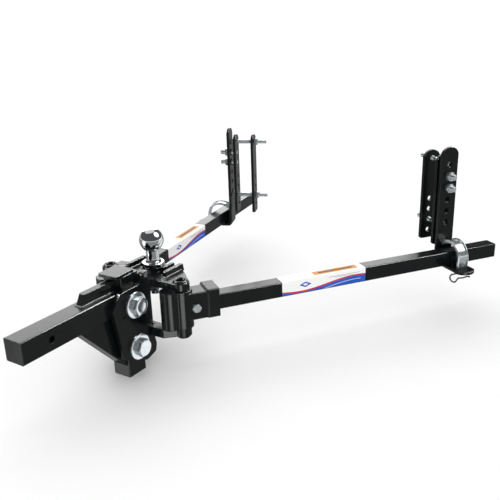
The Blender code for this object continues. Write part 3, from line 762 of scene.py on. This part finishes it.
def cast_lips():
    """Raised cast rims: round each ear's hole, and on each cheek's rounded shoulder."""
    for side, sign in (("near", -1), ("far", 1)):
        low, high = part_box(f"socket_pivot_pin_{side}")
        centre = ((low.x + high.x) / 2, (low.y + high.y) / 2)
        # The rim lies on the upper ear's boss, this far over the socket
        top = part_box(f"socket_{side}")[1].z + 0.0205
        rim = arc(centre, 0.0140, 0, 345, top, True)
        mesh = bead_mesh(rim, 0.0030, True, 0.0)
        piece(f"ear_rim_{side}", mesh, "black_paint", "root")
        cheek_low, cheek_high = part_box(f"head_cheek_{side}")
        face = cheek_high.y if sign > 0 else cheek_low.y
        # The point that the cheek's upper rear corner is rounded about
        shoulder = (cheek_high.x - 0.024, cheek_high.z - 0.022)
        for k, radius in enumerate((0.0165, 0.0105)):
            lip = arc(shoulder, radius, 5, 150, face, False)
            mesh = bead_mesh(lip, 0.0017, False, 0.0)
            piece(f"shoulder_lip_{side}_{k + 1}", mesh, "black_paint", "root")


def socket_details(side):
    """The bolt through the socket, and the bead between the tube and its collar."""
    place = side_frame(side)
    body = f"arm_{side}"
    zinc_bolt(f"socket_bolt_{side}", body, place, 1, SMALL, head=0.008, threaded=0.020)
    low, _ = side_box(side, f"socket_collar_{side}")
    x, half = low.x - 0.0003, 0.0258
    bottom, top = low.z + 0.0005, 0.0352
    path = [(x, -half, bottom), (x, -half, top), (x, half, top), (x, half, bottom)]
    piece(f"weld_collar_{side}", bead_mesh(path, 0.0022), "black_paint", body, place)


def bracket_fasteners(side):
    """A bracket's two frame bolts, its two studs, and all their nuts."""
    place = bracket_frame(side)
    body = f"bracket_{side}"
    inward = INWARD[side]
    for level in ("upper", "lower"):
        end = f"{level}_{side}"
        node = f"frame_bolt_{end}"
        zinc_bolt(node, body, place, inward, SMALL, head=0.0078, threaded=0.060)
        zinc_nut(f"frame_nut_{end}", body, place, inward, SMALL)
        zinc_nut(f"bracket_nut_{end}", body, place, inward, STUD)
        bracket_stud(level, side, place)


def bracket_stud(level, side, place):
    """A shouldered stud: threaded through its nut, wide up to the plate, plain at its end."""
    inward = INWARD[side]
    _, radius, pitch = STUD
    node = f"bracket_stud_{level}_{side}"
    centre, start, end, _ = across_box(node, place, inward)
    _, _, nut_end, _ = across_box(f"bracket_nut_{level}_{side}", place, inward)
    _, plate_start, _, _ = across_box(f"frame_plate_outer_{side}", place, inward)
    length = abs(end - start)
    shoulder = abs(plate_start - start)
    # Where the wide part starts, its radius, and the radius at its chamfered ends
    base = shoulder - 0.0113
    wide, chamfer = 0.0110, 0.0104
    profile = [
        (radius, base - 0.0005),
        (chamfer, base),
        (wide, base + 0.0007),
        (wide, shoulder - 0.0010),
        (chamfer, shoulder - 0.0004),
        (radius, shoulder - 0.0003),
        (radius, length - 0.0006),
        (0.0065, length),
    ]
    rings = [circle(0.0061, 0, HEX_STEPS)]
    rings += thread(radius, 0.0010, abs(nut_end - start) + 0.001, pitch)
    rings += [circle(r, height, HEX_STEPS) for r, height in profile]
    at = aimed(place, (centre.x, start, centre.z), (0, inward, 0))
    piece(f"{node}_threaded", skin(rings), "zinc", f"bracket_{side}", at, [node])


def retainer(side):
    """The bent strap over the bar, with a turned-out flange along each edge, and its pin."""
    place = bracket_frame(side)
    body = f"bracket_{side}"
    inward = INWARD[side]
    node = f"retainer_{side}"
    low, high = box_in(node, place)
    middle = (low.x + high.x) / 2
    half = (high.x - low.x) / 2
    # The strap's arc starts at the L bracket's plate, and its straight leg ends at the bottom
    centre_y, centre_z, radius = -0.0045, 0.0025, 0.0395
    plate, gap, flange = 0.0308, 0.0006, 0.0055
    bottom = -0.0193
    first = math.acos((plate - gap - centre_y) / (radius + flange))
    route = []
    for k in range(STRAP_STEPS + 1):
        a = first + (math.pi - first) * k / STRAP_STEPS
        route.append((centre_y + math.cos(a) * radius, centre_z + math.sin(a) * radius, a))
    for k in range(1, LEG_STEPS + 1):
        height = centre_z + (bottom - centre_z) * k / LEG_STEPS
        route.append((centre_y - radius, height, math.pi))
    # From the inner face, up one flange, over the strap and down the other flange
    flank = [(0, 0.0030), (0.0008, 0.0050), (0.0024, 0.0052), (0.0036, 0.0040), (0.0058, 0.0020)]
    section = [(-half, -0.002)] + [(-half + x, r) for x, r in flank]
    section += [(half - x, r) for x, r in flank[::-1]] + [(half, -0.002)]
    rings = []
    for y, z, a in route:
        out_y, out_z = math.cos(a), math.sin(a)
        rings.append([(middle + x, inward * (y + r * out_y), z + r * out_z) for x, r in section])
    piece(f"{node}_flanged", skin(rings), "zinc", body, place, [node])
    pin = [(0.0040, low.z), (0.0047, low.z + 0.0008), (0.0047, bottom + 0.006)]
    at = place @ Matrix.Translation((middle, inward * (centre_y - radius), 0))
    piece(f"{node}_pin", turned(pin, 48), "zinc", body, at)


def hairpin_clip(side):
    """The clip as one bent wire, along the line of its CAD solid."""
    place = bracket_frame(side)
    inward = INWARD[side]
    node = f"hairpin_clip_{side}"
    _, high = box_in(node, place)
    pin_low, _ = box_in(f"retainer_{side}", place)
    # Where the straight leg crosses the pin, and how the clip's plane tilts from level
    start_x, leg, height = high.x - 0.022, -0.044, pin_low.z + 0.005
    tilt = math.radians(35)
    # The straight leg, the round eye and the wavy leg, as distances along and aside
    route = [(x, 0) for x in (0.0212, 0.014, 0.008, 0, -0.008, -0.018, -0.0258)]
    eye = 0.0105
    for k in range(EYE_STEPS + 1):
        a = math.radians(80 + 210 * k / EYE_STEPS)
        route.append((-0.030 + eye * math.cos(a), -eye + eye * math.sin(a)))
    route += [(-0.0200, -0.0155), (-0.014, -0.0128), (-0.007, -0.0138), (0.0, -0.0145)]
    route += [(0.007, -0.0136), (0.012, -0.0127), (0.017, -0.0137), (0.0215, -0.0153)]
    curve = bpy.data.curves.new(node, "CURVE")
    curve.dimensions = "3D"
    curve.bevel_depth = WIRE
    curve.bevel_resolution = 4
    curve.use_fill_caps = True
    spline = curve.splines.new("POLY")
    spline.points.add(len(route) - 1)
    for point, (along, aside) in zip(spline.points, route):
        y = inward * (leg + aside * math.sin(tilt))
        point.co = (start_x + along, y, height + aside * math.cos(tilt), 1)
    holder = bpy.data.objects.new(node, curve)
    bpy.context.scene.collection.objects.link(holder)
    mesh = bpy.data.meshes.new_from_object(holder)
    bpy.data.objects.remove(holder)
    piece(f"{node}_wire", mesh, "zinc", f"clip_{side}", place, [node], look="spring")


# Studio


def studio():
    """The floor, the room's glow and the lights."""
    low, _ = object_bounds()
    bpy.ops.mesh.primitive_plane_add(size=60, location=(0.6, 0, low.z - 0.0005))
    floor = bpy.context.object
    floor.name = "floor"
    floor.data.materials.append(pale_floor())
    floor.visible_glossy = False
    floor.visible_shadow = False
    floor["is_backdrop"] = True
    world = bpy.data.worlds.new("studio")
    bpy.context.scene.world = world
    world.use_nodes = True
    horizon_glow(world.node_tree)
    ahead = math.degrees(AZIMUTH)
    for name, turn, elevation, spread, strength, kind, looks in SUNS:
        soft_sun(name, ahead + turn, elevation, spread, strength, kind, looks)


def horizon_glow(tree):
    """A dim room with a bright band at the horizon and a paler lower half, and a white backdrop."""
    g = Graph(tree)
    background = tree.nodes["Background"]
    background.inputs["Color"].default_value = (1.0, 1.0, 1.0, 1)
    height = g.axes(g.place("Generated"))["Z"]
    away = g.maths("ABSOLUTE", height)
    band = g.spread(away, low=1.10, high=0.11, start=0.028, end=0.06, blend="SMOOTHSTEP")
    below = g.spread(height, low=0.34, high=0.0, start=-0.06, end=0.0)
    seen = g.add("ShaderNodeLightPath").outputs["Is Camera Ray"]
    g.link(g.larger(g.larger(band, below), seen), background.inputs["Strength"])


def pieces_in(looks):
    """A group of every piece in these materials, for a light that reaches only them."""
    group = bpy.data.collections.new("_and_".join(looks))
    wanted = {LOOK[look].name for look in looks}
    for obj in bpy.data.objects:
        if obj.type == "MESH" and wanted & set(obj.data.materials.keys()):
            group.objects.link(obj)
    return group


def direction(azimuth, elevation):
    """A unit vector. Azimuth runs from +Y towards +X, and both are in radians."""
    level = math.cos(elevation)
    return Vector((math.sin(azimuth) * level, math.cos(azimuth) * level, math.sin(elevation)))


def soft_sun(name, azimuth, elevation, spread, strength, kind, looks):
    """A broad even light from afar, which adds only diffuse or only glossy light.

    Azimuth and elevation are the way to it, in degrees. It reaches the pieces in the given
    looks, or every piece if there are none.
    """
    light = bpy.data.lights.new(name, "SUN")
    light.energy = strength
    light.angle = math.radians(spread)
    obj = bpy.data.objects.new(name, light)
    bpy.context.scene.collection.objects.link(obj)
    if looks:
        obj.light_linking.receiver_collection = pieces_in(looks)
    obj.visible_diffuse = kind == "diffuse"
    obj.visible_glossy = kind == "glossy"
    to_light = direction(math.radians(azimuth), math.radians(elevation))
    obj.rotation_mode = "QUATERNION"
    obj.rotation_quaternion = to_light.to_track_quat("Z", "Y")


def camera():
    """The camera, level and then rolled about the way it looks."""
    ahead = direction(AZIMUTH, -ELEVATION)
    level = Vector((math.cos(AZIMUTH), -math.sin(AZIMUTH), 0))
    above = level.cross(ahead)
    right = math.cos(ROLL) * level + math.sin(ROLL) * above
    up = -math.sin(ROLL) * level + math.cos(ROLL) * above
    data = bpy.data.cameras.new("camera")
    data.lens = LENS
    data.sensor_width = SENSOR
    data.clip_end = 100
    obj = bpy.data.objects.new("camera", data)
    bpy.context.scene.collection.objects.link(obj)
    turn = Matrix((right, up, -ahead)).transposed().to_4x4()
    obj.matrix_world = Matrix.Translation(LOOKS_AT - ahead * DISTANCE) @ turn
    bpy.context.scene.camera = obj


def dress():
    """Each CAD node gets its finished material. A label's depends on its side."""
    slots = {row["node"]: row["material_slot"] for row in frame["record"]["subparts"]}
    for name, obj in frame["nodes"].items():
        slot = slots[name]
        look = LOOK[f"label_{name.rsplit('_', 1)[1]}" if slot == "label" else slot]
        if obj.material_slots:
            for entry in obj.material_slots:
                entry.material = look
        else:
            obj.data.materials.append(look)


for left_over in list(bpy.data.objects):
    bpy.data.objects.remove(left_over)
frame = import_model()
bpy.context.scene.view_settings.view_transform = "Standard"

# The finished materials, by slot, or by a name of their own where a slot has several
LOOK = {
    "black_paint": black_paint(),
    "zinc": zinc_plate(),
    "chrome": chrome_plate(),
    "spring": spring_steel(),
}
LOOK.update({f"label_{side}": label_print(side) for side in SIDES})

camera()
dress()
head_fasteners()
hitch_ball()
welds()
cast_lips()
for side in SIDES:
    socket_details(side)
    bracket_fasteners(side)
    retainer(side)
    hairpin_clip(side)
studio()
